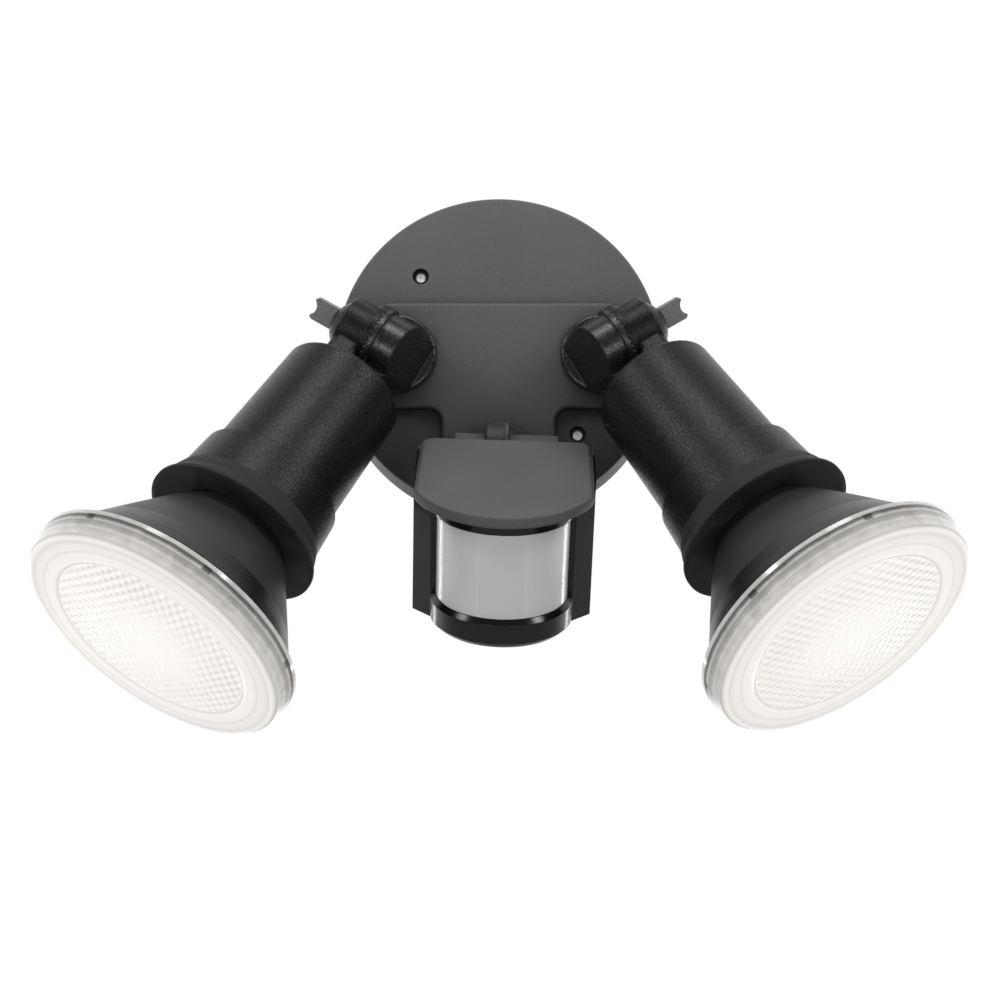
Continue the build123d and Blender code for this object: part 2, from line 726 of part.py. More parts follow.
def hood_plane_height(forward):
    """Height of the hood's underside over the tilt axis."""
    slope = (hood_top_front - hood_top_back) / (hood_front - hood_back)
    return hood_top_back + slope * (forward - hood_back) - hood_thickness


def above_hood():
    """Everything above the hood's underside, for trimming the cases."""
    reach = 2 * cover_back_radius
    face = make_face(Polyline(
        (0, hood_plane_height(-reach), -reach), (0, hood_plane_height(reach), reach),
        (0, reach, reach), (0, reach, -reach), close=True,
    ))
    return Pos(-reach, 0, 0) * extrude(face, 2 * reach, dir=(1, 0, 0))


def case_outline(inset):
    """Plan of the front case: straight sides, then swept wings to the lens."""
    side = head_half_width - inset
    face = lip_radius - inset * 0.5
    front = lens_axis_forward - inset
    wing = head_wing_front - inset * 0.4
    back = head_case_split
    return make_face(Polyline(
        (-side, back), (-side, wing), (-face, front), (face, front), (side, wing), (side, back), close=True
    ))


def half_disc(radius, forward):
    """Plan of a half disc that bulges forward from the lens axis."""
    whole = Pos(0, forward) * Circle(radius)
    keep = Pos(0, forward + radius) * Rectangle(2 * radius, 2 * radius)
    return whole & keep


def lens_lip():
    """Half-round lip below the lens: its top slopes down from the lens."""
    slope = lip_radius - sensor_lens_radius - lip_land
    profile = make_face(Polyline(
        (0, head_bottom), (lip_radius - lip_chamfer, head_bottom), (lip_radius, head_bottom + lip_chamfer),
        (lip_radius, sensor_lens_bottom - slope), (lip_radius - slope, sensor_lens_bottom),
        (0, sensor_lens_bottom), close=True,
    ))
    whole = Pos(0, 0, lens_axis_forward) * revolve(profile, Axis.Y, 360)
    return whole & block(
        -lip_radius, lip_radius, head_bottom, sensor_lens_bottom,
        lens_axis_forward, lens_axis_forward + lip_radius,
    )


def make_sensor_front_case(head_plane):
    top = 12.0
    body = plan_extrude(case_outline(0), head_bottom, top)
    body += lens_lip()
    body += plan_extrude(half_disc(brow_radius, lens_axis_forward), sensor_lens_top, top)
    inside_low = head_bottom + head_wall
    body -= plan_extrude(case_outline(head_wall), inside_low, top)
    window = sensor_lens_radius
    body -= block(-window, window, sensor_lens_bottom, sensor_lens_top, lens_axis_forward - 3, lens_axis_forward + 1)
    groove = half_disc(sensor_lens_radius, lens_axis_forward)
    body -= plan_extrude(groove, sensor_lens_bottom - 1.5, sensor_lens_bottom)
    body -= plan_extrude(groove, sensor_lens_top, sensor_lens_top + 1.5)
    body -= above_hood()
    for i in (-1, 0, 1):
        hole = Pos(i * knob_spacing, knob_forward) * Circle(knob_radius + knob_clearance)
        body -= plan_extrude(hole, head_bottom, inside_low)
    for x, y in case_screw_places():
        body += disc(case_boss_radius, head_case_split, case_boss_front, x, y)
        body -= disc(case_screw_radius, head_case_split, case_boss_front, x, y)
    return head_plane.location * body


def make_sensor_rear_case(head_plane):
    top = 12.0
    side = head_half_width
    shell = block(-side, side, head_bottom, top, head_back, head_case_split)
    shell = fillet(shell.edges().filter_by(Axis.Y).group_by(Axis.Z)[0], 4.0)
    shell -= block(-side + head_wall, side - head_wall, head_bottom + head_wall, top, head_back + head_wall, head_case_split)
    shell -= above_hood()
    ears = block(-ear_half_width, ear_half_width, ear_bottom, ear_top, ear_back, head_back + head_wall)
    ears = fillet(ears.edges().filter_by(Axis.X).group_by(Axis.Z)[0], 5.5)
    low, high = slot_range()
    slot_floor = lug_radius + lug_gap
    ears -= block(low, high, ear_bottom, ear_top, ear_back, slot_floor)
    ears -= above_hood()
    split = lug_right - sensor_shift
    teeth = toothed_ring(lug_radius, lug_ring_bore, high, split, lug_tooth_depth, lug_tooth_count, 0)
    body = shell + ears + teeth
    body -= rod(pivot_radius, -ear_half_width, ear_half_width)
    seat = pivot_head_height + pivot_head_depth
    for x in (-ear_half_width, ear_half_width - seat):
        body -= rod(pivot_head_radius, x, x + seat)
    for x, y in case_screw_places():
        body -= disc(case_screw_radius, head_back, head_back + head_wall, x, y)
    return head_plane.location * body


def make_sensor_hood(head_plane):
    side = hood_half_width
    outline = make_face(
        Polyline((-side, hood_side_front), (-side, hood_back), (side, hood_back), (side, hood_side_front))
        + ThreePointArc((side, hood_side_front), (0, hood_front), (-side, hood_side_front))
    )
    corners = outline.vertices().group_by(Axis.Y)[0]
    outline = fillet(corners, hood_corner)
    slab = plan_extrude(outline, -12.0, 30.0)
    low, high = 0.0, 120.0
    rise = hood_thickness
    band = make_face(Polyline(
        (0, hood_plane_height(low), low), (0, hood_plane_height(high), high),
        (0, hood_plane_height(high) + rise, high), (0, hood_plane_height(low) + rise, low), close=True,
    ))
    band = Pos(-60, 0, 0) * extrude(band, 120, dir=(1, 0, 0))
    hood = slab & band
    top_face = hood.faces().sort_by(Axis.Y)[-1]
    hood = fillet(top_face.edges(), hood_round)
    return head_plane.location * hood


def make_sensor_lens(head_plane):
    low = sensor_lens_bottom - 1.5
    high = sensor_lens_top + 1.5
    outer = sensor_lens_radius - 0.1
    shell = half_disc(outer, lens_axis_forward) - half_disc(outer - sensor_lens_wall, lens_axis_forward)
    return head_plane.location * plan_extrude(shell, low, high)


def make_sensor_board(head_plane):
    width, height, thickness = sensor_board_size
    middle = (sensor_lens_bottom + sensor_lens_top) / 2
    z = sensor_board_forward
    board = block(-width / 2, width / 2, middle - height / 2, middle + height / 2, z, z + thickness)
    for x, y in ((-24, -14), (24, -14), (-24, 14), (24, 14)):
        board += disc(2.0, head_back + head_wall, z, x, middle + y)
    return head_plane.location * board


def make_sensor_relay(head_plane):
    middle = (sensor_lens_bottom + sensor_lens_top) / 2
    z = sensor_board_forward + sensor_board_size[2]
    return head_plane.location * block(-24, -8, middle + 2, middle + 14, z, z + 10)


def make_pir_detector(head_plane):
    middle = (sensor_lens_bottom + sensor_lens_top) / 2
    z = sensor_board_forward + sensor_board_size[2]
    post = disc(2.6, z, lens_axis_forward - 16)
    can = disc(pir_radius, lens_axis_forward - 16, lens_axis_forward - 16 + pir_height)
    return head_plane.location * Pos(0, middle, 0) * (post + can)


def make_light_cell(head_plane):
    middle = (sensor_lens_bottom + sensor_lens_top) / 2
    z = sensor_board_forward + sensor_board_size[2]
    return head_plane.location * disc(2.5, z, z + 2.0, 16, middle - 8)


def make_knob(head_plane, place):
    low = head_bottom - 0.6
    knob = plan_extrude(Pos(place * knob_spacing, knob_forward) * Circle(knob_radius), low, low + knob_height)
    slot = block(
        place * knob_spacing - 3.6, place * knob_spacing + 3.6, low, low + 1.2,
        knob_forward - 0.5, knob_forward + 0.5,
    )
    stem = plan_extrude(Pos(place * knob_spacing, knob_forward) * Circle(1.5), low + knob_height, low + knob_height + 5)
    return head_plane.location * (knob + stem - slot)


def make_pivot_screw(head_plane):
    low = -ear_half_width + pivot_head_depth
    screw = rod(pivot_head_radius, low, low + pivot_head_height)
    screw += rod(pivot_radius, low, ear_half_width - pivot_head_depth)
    screw -= block(low, low + 0.8, -0.5, 0.5, -pivot_head_radius, pivot_head_radius)
    return head_plane.location * screw


def make_pivot_nut(head_plane):
    high = ear_half_width - pivot_head_depth
    nut = hexagon(pivot_nut_flats, high - pivot_head_height, high)
    nut -= rod(pivot_radius, high - pivot_head_height, high)
    return head_plane.location * nut


def case_screw_places():
    return [(x, y) for x in (-case_screw_x, case_screw_x) for y in (case_screw_low, case_screw_high)]


def make_case_screws(head_plane):
    screws = []
    for x, y in case_screw_places():
        screw = disc(case_screw_radius, head_back, head_back + case_screw_length, x, y)
        screw += disc(case_screw_head, head_back - 1.6, head_back, x, y)
        cross = Box(2.8, 0.6, 1.6) + Box(0.6, 2.8, 1.6)
        screws.append(screw - Pos(x, y, head_back - 1.6) * cross)
    return head_plane.location * Compound(screws)


def build():
    parts = {
        "wall_base": make_wall_base(),
        "wall_gasket": make_wall_gasket(),
        "cable_grommet": make_cable_grommet(),
        "front_cover": make_front_cover(),
        "cover_screws": make_cover_screws(),
        "terminal_block": make_terminal_block(),
        "terminal_screws": make_terminal_screws(),
    }
    for name, side, swivel, tilt in (
        ("left", -1, swivel_left, tilt_left), ("right", 1, swivel_right, tilt_right),
    ):
        swivel_plane, clamp_plane, lamp_plane = arm_frames(side, swivel, tilt)
        mesh_turn = side * (90 - tilt) + 180 / tooth_count
        parts["elbow_" + name] = make_elbow(swivel_plane, side, mesh_turn)
        parts["elbow_seal_" + name] = make_elbow_seal(swivel_plane)
        parts["swivel_washer_" + name] = make_swivel_washer(swivel_plane)
        parts["swivel_nut_" + name] = make_swivel_nut(swivel_plane)
        parts["clamp_nut_" + name] = make_clamp_nut(clamp_plane)
        parts["clamp_screw_" + name] = make_clamp_screw(clamp_plane, side)
        parts["lampholder_" + name] = make_lampholder(lamp_plane)
        parts["skirt_seal_" + name] = make_skirt_seal(lamp_plane)
        parts["socket_body_" + name] = make_socket_body(lamp_plane)
        parts["socket_shell_" + name] = make_socket_shell(lamp_plane)
        parts["socket_contact_" + name] = make_socket_contact(lamp_plane)
        parts["lamp_body_" + name] = make_lamp_body(lamp_plane)
        parts["lamp_lens_" + name] = make_lamp_lens(lamp_plane)
        parts["lamp_reflector_" + name] = make_lamp_reflector(lamp_plane)
        parts["light_board_" + name] = make_light_board(lamp_plane)
        parts["lamp_cap_" + name] = make_lamp_cap(lamp_plane)
        parts["lamp_tip_" + name] = make_lamp_tip(lamp_plane)
    swivel_plane, head_plane = sensor_frames()
    parts["sensor_swivel"] = make_sensor_swivel(swivel_plane)
    parts["sensor_washer"] = make_swivel_washer(swivel_plane)
    parts["sensor_nut"] = make_swivel_nut(swivel_plane)
    parts["sensor_rear_case"] = make_sensor_rear_case(head_plane)
    parts["sensor_front_case"] = make_sensor_front_case(head_plane)
    parts["sensor_hood"] = make_sensor_hood(head_plane)
    parts["sensor_lens"] = make_sensor_lens(head_plane)
    parts["sensor_board"] = make_sensor_board(head_plane)
    parts["sensor_relay"] = make_sensor_relay(head_plane)
    parts["pir_detector"] = make_pir_detector(head_plane)
    parts["light_cell"] = make_light_cell(head_plane)
    parts["pivot_screw"] = make_pivot_screw(head_plane)
    parts["pivot_nut"] = make_pivot_nut(head_plane)
    parts["case_screws"] = make_case_screws(head_plane)
    for name, place in (("time_knob", -1), ("range_knob", 0), ("dusk_knob", 1)):
        parts[name] = make_knob(head_plane, place)
    return parts


os.makedirs("parts", exist_ok=True)
for node, shape in build().items():
    export_step(shape, "parts/" + node + ".step")
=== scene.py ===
import json
import math

import bmesh
import bpy
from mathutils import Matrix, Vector

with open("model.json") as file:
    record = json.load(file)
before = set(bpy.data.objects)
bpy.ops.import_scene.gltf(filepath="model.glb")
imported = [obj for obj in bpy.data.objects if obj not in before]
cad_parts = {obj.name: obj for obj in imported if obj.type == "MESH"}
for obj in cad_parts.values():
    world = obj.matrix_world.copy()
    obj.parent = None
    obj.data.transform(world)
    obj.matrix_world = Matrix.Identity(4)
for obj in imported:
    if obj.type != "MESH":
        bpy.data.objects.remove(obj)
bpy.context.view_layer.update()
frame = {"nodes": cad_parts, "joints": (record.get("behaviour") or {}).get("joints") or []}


# ---- Wall base ----
# A flat die-cast dish that is screwed to the wall and carries the terminals and the cover.
# It is made of aluminium with a thin, even black coat, a little chalky from the mould.

class Field:
    """A number or colour that changes over a surface: an output socket with arithmetic."""

    def __init__(self, nodes, socket):
        self.nodes = nodes
        self.socket = socket

    def work(self, operation, first, second=0.0):
        return self.nodes.node("ShaderNodeMath", {"operation": operation}, {0: first, 1: second})

    def __add__(self, other):
        return self.work("ADD", self, other)

    def __radd__(self, other):
        return self.work("ADD", other, self)

    def __sub__(self, other):
        return self.work("SUBTRACT", self, other)

    def __rsub__(self, other):
        return self.work("SUBTRACT", other, self)

    def __mul__(self, other):
        return self.work("MULTIPLY", self, other)

    def __rmul__(self, other):
        return self.work("MULTIPLY", other, self)

    def __truediv__(self, other):
        return self.work("DIVIDE", self, other)

    def __pow__(self, other):
        return self.work("POWER", self, other)

    def __abs__(self):
        return self.work("ABSOLUTE", self)

    def __gt__(self, other):
        return self.work("GREATER_THAN", self, other)

    def __lt__(self, other):
        return self.work("LESS_THAN", self, other)

    def wave(self):
        return self.work("SINE", self)

    def zigzag(self, half_pitch):
        """0 at each even multiple of the half pitch, 1 at each odd one, straight in between."""
        return self.work("PINGPONG", self, half_pitch) / half_pitch


class NodeTree:
    """The nodes of one material or of the world; place is where, or which way, a point lies."""

    def __init__(self, tree, place):
        self.tree = tree
        self.place = self.node("ShaderNodeTexCoord", {}, {}, place)

    def node(self, kind, settings, sockets, output=0):
        """Add a node with its settings, then give its sockets their values or links."""
        made = self.tree.nodes.new(kind)
        for setting, value in settings.items():
            if setting == "stops":
                stops = made.color_ramp.elements
                for _ in value[2:]:
                    stops.new(1.0)
                for stop, (position, level) in zip(stops, value):
                    stop.position = position
                    stop.color = (level, level, level, 1.0)
            else:
                setattr(made, setting, value)
        for name, value in sockets.items():
            if isinstance(value, Field):
                self.tree.links.new(value.socket, made.inputs[name])
            else:
                made.inputs[name].default_value = value
        return Field(self, made.outputs[output])

    def ramp(self, share, *stops):
        """Reshape a field with (position, level) stops."""
        return self.node("ShaderNodeValToRGB", {"stops": stops}, {"Fac": share})


class Finish(NodeTree):
    """One procedural material: a Principled shader and the nodes that feed it."""

    def __init__(self, name, constants):
        self.material = bpy.data.materials.new(name)
        self.material.use_nodes = True
        super().__init__(self.material.node_tree, "Object")
        self.shader = self.tree.nodes["Principled BSDF"]
        for socket, value in constants.items():
            self.shader.inputs[socket].default_value = value

    def noise(self, size, detail=2.0, stretch=None):
        """Soft random field from 0 to 1 with features of this size in metres."""
        place = self.place
        if stretch:
            place = self.node(
                "ShaderNodeVectorMath", {"operation": "MULTIPLY"}, {0: place, 1: stretch}
            )
        return self.node(
            "ShaderNodeTexNoise", {}, {"Vector": place, "Scale": 1 / size, "Detail": detail}
        )

    def cells(self, size, feature="F1", output="Distance"):
        """Cells of this size in metres: how far the nearest is, or a value of its own for each."""
        return self.node(
            "ShaderNodeTexVoronoi", {"feature": feature}, {"Vector": self.place, "Scale": 1 / size},
            output,
        )

    def unshaded_share(self, reach):
        """1 where nothing stands within this reach, less in corners and under other pieces: a mask
        for painted shade.
        """
        return self.node("ShaderNodeAmbientOcclusion", {"samples": 8}, {"Distance": reach}, "AO")

    def blend(self, share, low, high):
        """Colour that goes from low to high as share goes from 0 to 1."""
        return self.node("ShaderNodeMix", {"data_type": "RGBA"}, {0: share, 6: low, 7: high}, 2)

    def relief(self, height, depth, edge=0.0):
        """Normal of a relief this many metres deep, with the piece's edges eased over edge."""
        sockets = {"Height": height, "Distance": depth}
        if edge:
            sockets["Normal"] = self.node("ShaderNodeBevel", {"samples": 6}, {"Radius": edge})
        return self.node("ShaderNodeBump", {}, sockets)

    def feed(self, sockets):
        for name, field in sockets.items():
            self.tree.links.new(field.socket, self.shader.inputs[name])

    def give(self, *names):
        """Put this finish on CAD nodes."""
        for name in names:
            for slot in frame["nodes"][name].material_slots:
                slot.material = self.material


def grey(level, warmth=0.0):
    """A neutral colour, or a slightly warm one."""
    return (level * (1 + warmth), level, level * (1 - warmth), 1.0)


class SandCoat(Finish):
    """Black coat over cast aluminium: small pebbles of different gloss, so that some glint."""

    def __init__(self, name, level, grain, depth, rough, edge, shine=0.34):
        super().__init__(name, {"Specular IOR Level": shine})
        pebbles = self.noise(grain, 2.0)
        patches = self.noise(0.03, 3.0)
        glints = self.ramp(self.cells(grain * 1.3, output="Color"), (0.45, 0.0), (0.75, 1.0))
        self.colour = self.blend(pebbles * 0.5 + patches * 0.3, grey(level), grey(level * 2.4))
        self.feed({
            "Base Color": self.colour,
            "Roughness": rough + patches * 0.1 - glints * rough * 0.45,
            "Normal": self.relief(pebbles, depth, edge),
        })


base_coat = SandCoat("base_coat", level=0.014, grain=0.0008, depth=0.0002, rough=0.5, edge=0.0006)
base_coat.give("wall_base")


# ---- Rubber pieces ----
# The gasket behind the base and the cable grommet are moulded in black rubber, matt, with dust
# in the pores. The O-rings under the elbows and the lamps' skirt seals are of the same rubber.

rubber = Finish("moulded_rubber", {"Specular IOR Level": 0.35})
pores = rubber.noise(0.0005, 3.0)
dust = rubber.ramp(rubber.noise(0.012, 4.0), (0.42, 0.0), (0.75, 1.0))
rubber.feed({
    "Base Color": rubber.blend(dust * 0.5 + pores * 0.2, grey(0.01), grey(0.035, 0.03)),
    "Roughness": 0.62 + dust * 0.2 + pores * 0.1,
    "Normal": rubber.relief(pores, 0.0001, 0.0008),
})
rubber.give("wall_gasket", "cable_grommet")


# ---- Front cover ----
# The round cover with the raised field for the three swivels: die-cast aluminium with a
# finely textured charcoal coat, smoother in patches where hands have been. Its colour is
# painted darker in the corners beside the arms and the sensor, as painted shade.

cover_shade_reach = 0.12

cover_coat = Finish("cover_coat", {"Specular IOR Level": 0.4})
cover_grain = cover_coat.noise(0.0007, 3.0)
cover_specks = cover_coat.noise(0.00035, 1.0)
cover_patches = cover_coat.noise(0.045, 4.0)
# Painted shade: the coat goes nearly black in corners and under the arms and the sensor.
cover_unshaded = cover_coat.ramp(cover_coat.unshaded_share(cover_shade_reach), (0.38, 0.0), (0.98, 1.0))
cover_tone = cover_coat.blend(
    cover_grain * 0.4 + cover_patches * 0.3 + cover_specks * 0.3, grey(0.056), grey(0.155)
)
cover_coat.feed({
    "Base Color": cover_coat.blend(cover_unshaded, grey(0.008), cover_tone),
    "Roughness": 0.46 + cover_patches * 0.14 + cover_grain * 0.06,
    "Normal": cover_coat.relief(cover_grain * 0.6 + cover_specks * 0.4, 0.00016, 0.0007),
})
cover_coat.give("front_cover")


# ---- Bright screws ----
# Cover screws, sensor pivot and case screws: bright zinc-plated steel, turned and cross
# recessed, with fine scratches from the driver.

bright_steel = Finish("bright_screw_steel", {"Metallic": 1.0})
scratches = bright_steel.noise(0.0004, 4.0, (1.0, 1.0, 6.0))
tarnish = bright_steel.noise(0.0025, 3.0)
bright_steel.feed({
    "Base Color": bright_steel.blend(tarnish, grey(0.62), grey(0.95, -0.01)),
    "Roughness": 0.34 + scratches * 0.3,
    "Normal": bright_steel.relief(scratches, 0.00004),
})
bright_steel.give("cover_screws", "pivot_screw", "case_screws")


# ---- Terminals ----
# A moulded terminal block on the base takes the supply cable; each way has two slotted
# brass screws. The block is cream nylon with a soft sheen.

nylon = Finish("terminal_nylon", {
    "Subsurface Weight": 0.1, "Subsurface Radius": (0.002, 0.0016, 0.001),
})
nylon_cloud = nylon.noise(0.006, 3.0)
nylon.feed({
    "Base Color": nylon.blend(nylon_cloud, (0.68, 0.65, 0.58, 1.0), (0.8, 0.78, 0.72, 1.0)),
    "Roughness": 0.38 + nylon_cloud * 0.2,
    "Normal": nylon.relief(nylon.noise(0.0004, 2.0), 0.00003),
})
nylon.give("terminal_block")

brass = Finish("contact_brass", {"Metallic": 1.0})
brass_cloud = brass.noise(0.004, 4.0)
brass_lines = brass.noise(0.0005, 2.0, (1.0, 1.0, 5.0))
brass.feed({
    "Base Color": brass.blend(brass_cloud, (0.5, 0.34, 0.12, 1.0), (0.86, 0.66, 0.32, 1.0)),
    "Roughness": 0.22 + brass_cloud * 0.2 + brass_lines * 0.1,
    "Normal": brass.relief(brass_lines, 0.00003),
})
brass.give("terminal_screws")


# ---- Elbows ----
# One cast elbow each side turns on the cover and ends in a ring of radial teeth. It has a thin,
# glossy black coat over fine sand. A near-black zigzag is painted where its teeth meet the
# lampholder's, as painted shade in the gap between the teeth.

lamp_sides = ("left", "right")
lamp_tilts = {"left": 25.1, "right": 26.3}
knuckle_split = 0.0078
tooth_pitch = math.radians(360 / 40)
tooth_depth = 0.0013
tooth_rim = 0.0172
seam_half_width = 0.0007
seam_inside = 0.0158
seam_outside = 0.0178


def joint_named(name):
    return next(joint for joint in frame["joints"] if joint["name"] == name)


def measure(finish, start, line):
    """Distance of every point from start along a line, in metres."""
    offset = finish.node(
        "ShaderNodeVectorMath", {"operation": "SUBTRACT"}, {0: finish.place, 1: start}
    )
    return finish.node(
        "ShaderNodeVectorMath", {"operation": "DOT_PRODUCT"}, {0: offset, 1: line}, "Value"
    )


def clamp_lines(side):
    """Where a lamp's clamp axis starts, and its own three directions: out, across and forward."""
    joint = joint_named(f"clamp_screw_turn_{side}")
    forward = Vector((0, -1, 0))
    outward = Vector(joint["axis"]).normalized()
    return Vector(joint["pos_m"]), outward, forward.cross(outward), forward


def paint_seam_shade(coat, side):
    """Paint shade on a coat: a near-black zigzag in the gap between the meshed teeth of a lamp's
    knuckle.
    """
    start, outward, across, forward = clamp_lines(side)
    along, up, ahead = (measure(coat, start, line) for line in (outward, across, forward))
    radius = (up * up + ahead * ahead) ** 0.5
    turn = lamp_tilts[side] - 90 if side == "left" else 90 - lamp_tilts[side]
    groove = math.radians(turn) + tooth_pitch / 2
    angle = coat.node("ShaderNodeMath", {"operation": "ARCTAN2"}, {0: 0.0 - up, 1: ahead})
    crests = (angle - groove + 4 * math.pi).zigzag(tooth_pitch / 2)
    middle = knuckle_split + (crests * 2.0 - 1.0) * radius * (tooth_depth / 2 / tooth_rim)
    on_ring = (radius > seam_inside) * (radius < seam_outside)
    # Painted shade: near black along the zigzag where the teeth meet.
    seam = (abs(along - middle) < seam_half_width) * on_ring
    coat.feed({"Base Color": coat.blend(seam, coat.colour, grey(0.0005))})


zinc = Finish("zinc_plate", {"Metallic": 1.0})
spangle = zinc.cells(0.0018, "SMOOTH_F1")
zinc_cloud = zinc.noise(0.005, 3.0)
zinc.feed({
    "Base Color": zinc.blend(zinc_cloud, (0.42, 0.44, 0.46, 1.0), (0.7, 0.7, 0.66, 1.0)),
    "Roughness": 0.3 + spangle * 0.2 + zinc_cloud * 0.1,
    "Normal": zinc.relief(spangle, 0.00003, 0.0003),
})
for side in lamp_sides:
    elbow_coat = SandCoat(
        f"elbow_coat_{side}", level=0.007, grain=0.0005, depth=0.00006, rough=0.3, edge=0.0015,
        shine=0.6,
    )
    paint_seam_shade(elbow_coat, side)
    elbow_coat.give(f"elbow_{side}")
    rubber.give(f"elbow_seal_{side}")
    zinc.give(f"swivel_washer_{side}", f"swivel_nut_{side}", f"clamp_nut_{side}")


# ---- Clamp screws ----
# A black domed washer head with a grey wing nut standing out of it pulls the two toothed
# rings together. The wing is bare zinc alloy with a cast skin.

dome_top = 0.0298
dome_sphere = 0.01455
dome_skin = 0.0002

for side in lamp_sides:
    clamp = SandCoat(
        f"clamp_coat_{side}", level=0.005, grain=0.0004, depth=0.0001, rough=0.32, edge=0.0004
    )
    start, outward, across, forward = clamp_lines(side)
    along, up, ahead = (measure(clamp, start, line) for line in (outward, across, forward))
    dome = dome_top - dome_sphere + (dome_sphere ** 2 - up * up - ahead * ahead) ** 0.5
    wing = along > dome + dome_skin
    cast_skin = clamp.noise(0.0012, 4.0)
    bare = clamp.blend(cast_skin, grey(0.12, 0.03), grey(0.26, 0.03))
    clamp.feed({"Base Color": clamp.blend(wing, clamp.colour, bare)})
    clamp.give(f"clamp_screw_{side}")


# ---- Lampholders ----
# The cast barrel with its own toothed half knuckle is coated in coarse, glinting black sand. It
# holds a ceramic screw socket with a spun brass shell and a sprung centre contact; a rubber
# skirt closes it round the lamp.

ceramic = Finish("socket_ceramic", {"Coat Weight": 0.4, "Coat Roughness": 0.08})
ceramic_specks = ceramic.ramp(ceramic.noise(0.0007, 2.0), (0.3, 0.0), (0.45, 1.0))
ceramic_cloud = ceramic.noise(0.01, 3.0)
ceramic.feed({
    "Base Color": ceramic.blend(ceramic_specks, grey(0.55, 0.03), grey(0.8, 0.02)),
    "Roughness": 0.2 + ceramic_cloud * 0.15,
    "Normal": ceramic.relief(ceramic_cloud, 0.00006),
})
for side in lamp_sides:
    holder_coat = SandCoat(
        f"holder_coat_{side}", level=0.004, grain=0.00042, depth=0.00013, rough=0.3, edge=0.0007,
        shine=0.26,
    )
    # Painted shade in the zigzag where its teeth meet the elbow's.
    paint_seam_shade(holder_coat, side)
    holder_coat.give(f"lampholder_{side}")
    rubber.give(f"skirt_seal_{side}")
    ceramic.give(f"socket_body_{side}")
    brass.give(f"socket_shell_{side}", f"socket_contact_{side}")


# ---- Lamp bodies and caps ----
# The lamp's funnel is moulded in satin black with faint flow lines; its nickel-plated
# screw cap ends in a dark glass insulator with the centre pin.

funnel_band = 0.1585
band_edge = 0.001


def lamp_lines(side):
    """Where a lamp's axis starts, and its own three directions: to the lens, level and upward."""
    joint = joint_named(f"lamp_turn_{side}")
    axis = Vector(joint["axis"]).normalized()
    level = axis.cross(Vector((0, 0, 1))).normalized()
    return Vector(joint["pos_m"]), axis, level, level.cross(axis)


for side in lamp_sides:
    funnel = Finish(f"lamp_funnel_{side}", {"Specular IOR Level": 0.45})
    start, axis = lamp_lines(side)[:2]
    along = measure(funnel, start, axis)
    # Painted shade: a band of the funnel next to the lens is painted near black; it is also made
    # glossier.
    shade_band = funnel.ramp((along - funnel_band) / band_edge, (0.3, 0.0), (0.7, 1.0))
    funnel_skin = funnel.noise(0.0007, 3.0)
    funnel_flow = funnel.noise(0.02, 3.0)
    satin = funnel.blend(funnel_skin * 0.4 + funnel_flow * 0.3, grey(0.012), grey(0.035))
    funnel.feed({
        "Base Color": funnel.blend(shade_band, satin, grey(0.004)),
        "Roughness": 0.4 + funnel_flow * 0.1 + funnel_skin * 0.05 - shade_band * 0.15,
        "Normal": funnel.relief(funnel_skin, 0.00006, 0.0004),
    })
    funnel.give(f"lamp_body_{side}")
nickel = Finish("nickel_plate", {"Metallic": 1.0})
nickel_cloud = nickel.noise(0.006, 4.0)
nickel.feed({
    "Base Color": nickel.blend(nickel_cloud, (0.55, 0.53, 0.48, 1.0), (0.82, 0.8, 0.75, 1.0)),
    "Roughness": 0.16 + nickel_cloud * 0.22,
    "Normal": nickel.relief(nickel.noise(0.0006, 2.0), 0.00002),
})
insulator = Finish("cap_insulator", {"Coat Weight": 0.6})
insulator_cloud = insulator.noise(0.003, 3.0)
insulator.feed({
    "Base Color": insulator.blend(
        insulator_cloud, (0.012, 0.01, 0.014, 1.0), (0.04, 0.03, 0.05, 1.0)
    ),
    "Roughness": 0.12 + insulator_cloud * 0.2,
})
insulator.give("light_cell")
for side in lamp_sides:
    nickel.give(f"lamp_cap_{side}")
    insulator.give(f"lamp_tip_{side}")


# ---- Light boards and reflectors ----
# Behind the lens a white board carries rings of small emitters under yellow phosphor, in a
# bright vacuum-coated reflector cone.

board_face = 0.166
mask_thickness = 0.0002

for side in lamp_sides:
    board = Finish(f"light_board_{side}", {"Emission Strength": 0.6})
    start, axis = lamp_lines(side)[:2]
    emitter = measure(board, start, axis) > board_face + mask_thickness
    mask_grain = board.noise(0.0006, 3.0)
    solder_mask = board.blend(mask_grain, grey(0.7), grey(0.82))
    phosphor = board.blend(mask_grain, (0.85, 0.62, 0.16, 1.0), (0.95, 0.78, 0.3, 1.0))
    board.feed({
        "Base Color": board.blend(emitter, solder_mask, phosphor),
        "Roughness": 0.35 + emitter * 0.2 + mask_grain * 0.1,
        "Emission Color": board.blend(emitter, grey(0.0), (1.0, 0.86, 0.6, 1.0)),
    })
    board.give(f"light_board_{side}")
mirror = Finish("reflector_coating", {"Metallic": 1.0})
ripple = mirror.noise(0.004, 3.0)
mirror.feed({
    "Base Color": mirror.blend(ripple, grey(0.8), grey(0.93)),
    "Roughness": 0.06 + ripple * 0.1,
    "Normal": mirror.relief(ripple, 0.0001),
})
mirror.give("lamp_reflector_left", "lamp_reflector_right")


# ---- Lamp lenses ----
# The clear moulded lens. Its middle is covered with rows of small round lenslets; round that it
# is smooth. Its colour is also given as emission, painted light that keeps it near white; the
# lenslets carry painted shade on one side, and the rim and side wall carry painted dark and
# light bands for the dark funnel seen through them.

lens_back = 0.174
lens_front = 0.1864
lens_edge = 0.0584
lens_rim = 0.0602
flank_top = 0.0012
flank_skin = 0.0004
zone_radius = 0.044
lenslet_pitch = 0.0042
clip_count = 7
clip_phase = 8.0

